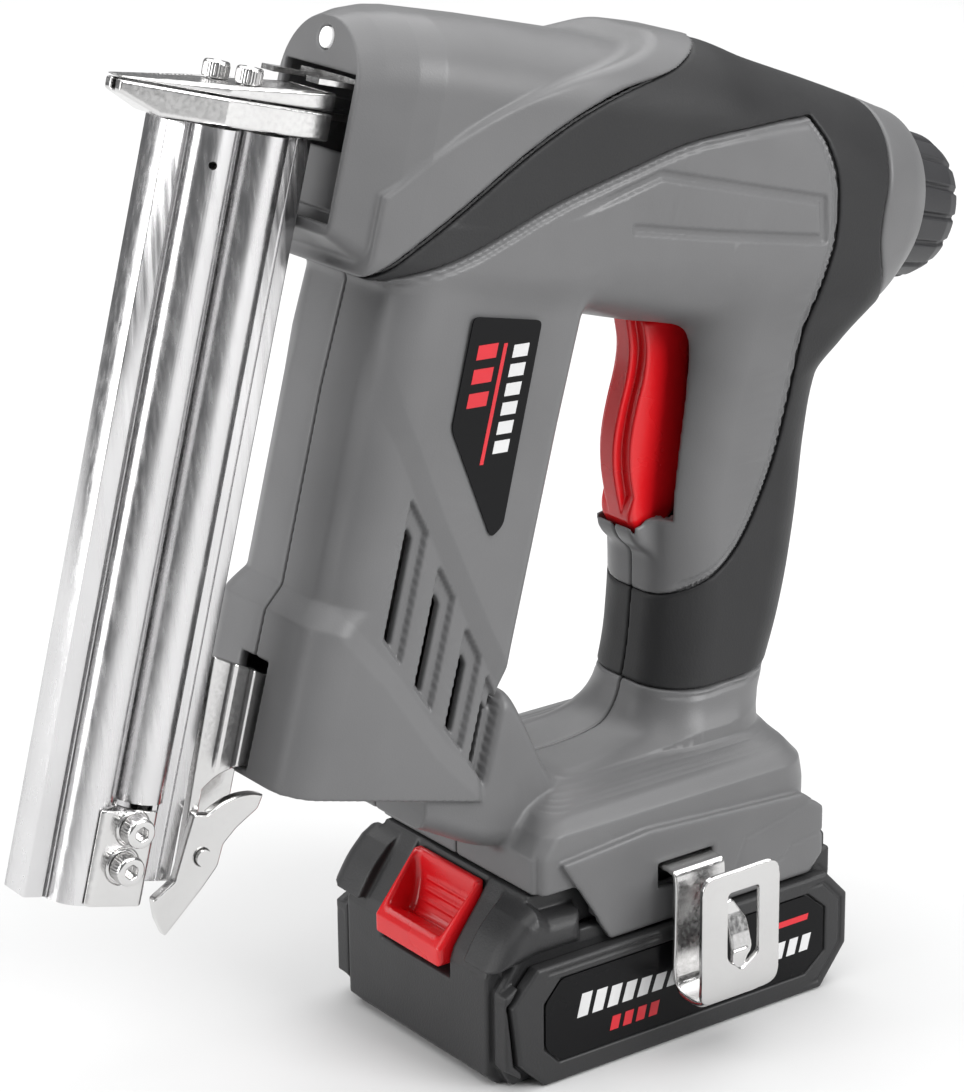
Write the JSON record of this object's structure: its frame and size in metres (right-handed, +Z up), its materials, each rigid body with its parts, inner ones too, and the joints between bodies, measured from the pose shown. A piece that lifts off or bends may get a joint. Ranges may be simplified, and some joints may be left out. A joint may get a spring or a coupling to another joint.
{
  "type": "cordless brad nailer",
  "caption": "Cordless brad nailer with a pitched head, slim bottom magazine, motor column, gripped handle with trigger, belt hook and slide-on battery.",
  "frame": {"origin": "middle of the battery's flat bottom face, which the tool stands on", "axes": "+Z up, +X to the rear (the driver fires towards -X), -Y the side with the belt hook"},
  "size_m": [0.2712, 0.0922, 0.2573],
  "materials": {
    "grey_plastic": "satin mid-grey moulded plastic",
    "soft_grip": "soft charcoal overmould",
    "battery_plastic": "dark grey moulded plastic",
    "black_film": "black printed film",
    "red_plastic": "bright red moulded plastic",
    "bright_steel": "bright steel",
    "aluminium": "extruded aluminium",
    "dark_nylon": "glass-filled nylon",
    "rubber": "rubber",
    "copper": "copper",
    "board_green": "circuit board",
    "clear_lens": "clear lens",
    "cell_steel": "sleeved cell can"
  },
  "bodies": {
    "body": {"housing_left": "grey_plastic", "housing_right": "grey_plastic", "front_cover": "grey_plastic", "rear_cap": "grey_plastic", "grip_left": "soft_grip", "grip_right": "soft_grip", "work_light_lens": "clear_lens", "badge_left": "black_film", "badge_right": "black_film", "housing_screw_1": "bright_steel", "housing_screw_2": "bright_steel", "housing_screw_3": "bright_steel", "housing_screw_4": "bright_steel", "barrel": "bright_steel", "bumper": "rubber", "spring_seat": "dark_nylon", "motor_can": "bright_steel", "gearbox": "dark_nylon", "nose_base": "bright_steel", "nose_cover": "bright_steel", "nose_screw_1": "bright_steel", "nose_screw_2": "bright_steel", "jam_clip": "bright_steel", "magazine_track": "aluminium", "magazine_bracket": "bright_steel", "brad_strip": "bright_steel", "lever_pin": "bright_steel", "trigger_switch": "dark_nylon", "trigger_spring": "bright_steel", "controller_board": "board_green", "terminal_block": "dark_nylon", "drive_spring": "bright_steel", "pusher_spring": "bright_steel", "belt_hook": "bright_steel"},
    "driver": {"driver_blade": "bright_steel", "piston": "dark_nylon"},
    "trigger": {"trigger": "red_plastic"},
    "knob": {"adjuster_knob": "dark_nylon"},
    "lifter": {"lifter_wheel": "bright_steel"},
    "rotor": {"motor_rotor": "copper"},
    "magazine_slide": {"magazine_cover": "aluminium", "end_clamp": "bright_steel", "clamp_screw_1": "bright_steel", "clamp_screw_2": "bright_steel"},
    "pusher": {"pusher": "dark_nylon"},
    "lever": {"latch_lever": "bright_steel"},
    "battery": {"battery_case": "battery_plastic", "battery_side_left": "battery_plastic", "battery_side_right": "battery_plastic", "battery_label_left": "black_film", "battery_label_right": "black_film", "cell_1": "cell_steel", "cell_2": "cell_steel", "cell_3": "cell_steel", "cell_4": "cell_steel", "cell_5": "cell_steel", "pack_contacts": "copper"},
    "battery_button": {"battery_button": "red_plastic"}
  },
  "joints": [
    {"name": "driver_slide", "type": "slide", "parent": "body", "child": "driver", "axis": [-0.9659, 0, 0.2588], "range_m": [0, 0.043], "deforming": ["drive_spring"]},
    {"name": "trigger_press", "type": "slide", "parent": "body", "child": "trigger", "axis": [1, 0, 0], "range_m": [0, 0.005], "stiffness_N_per_m": 1200, "deforming": ["trigger_spring"]},
    {"name": "knob_turn", "type": "hinge", "parent": "body", "child": "knob", "pos_m": [0.08555, 0, 0.19167], "axis": [0.9659, 0, -0.2588], "range_deg": [-135, 135]},
    {"name": "rotor_spin", "type": "hinge", "parent": "body", "child": "rotor", "pos_m": [-0.06704, 0, 0.11868], "axis": [0.2588, 0, 0.9659], "continuous": true},
    {"name": "lifter_spin", "type": "hinge", "parent": "body", "child": "lifter", "pos_m": [-0.04375, 0, 0.20561], "axis": [0.2588, 0, 0.9659], "continuous": true},
    {"name": "magazine_open", "type": "slide", "parent": "body", "child": "magazine_slide", "axis": [-0.2588, 0, -0.9659], "range_m": [0, 0.11]},
    {"name": "pusher_slide", "type": "slide", "parent": "body", "child": "pusher", "axis": [-0.2588, 0, -0.9659], "range_m": [0, 0.045], "stiffness_N_per_m": 40, "springref_m": -0.04, "deforming": ["pusher_spring"]},
    {"name": "lever_swing", "type": "hinge", "parent": "body", "child": "lever", "pos_m": [-0.11884, 0, 0.07023], "axis": [0, -1, 0], "range_deg": [0, 25], "stiffness_Nm_per_rad": 0.2},
    {"name": "battery_slide", "type": "slide", "parent": "body", "child": "battery", "axis": [-1, 0, 0], "range_m": [0, 0.045]},
    {"name": "button_press", "type": "slide", "parent": "battery", "child": "battery_button", "axis": [0, 0, -1], "range_m": [0, 0.004], "stiffness_N_per_m": 1500}
  ],
  "couplings": [
    {"joint": "lifter_spin", "follows": "rotor_spin", "ratio": 0.0625}
  ]
}
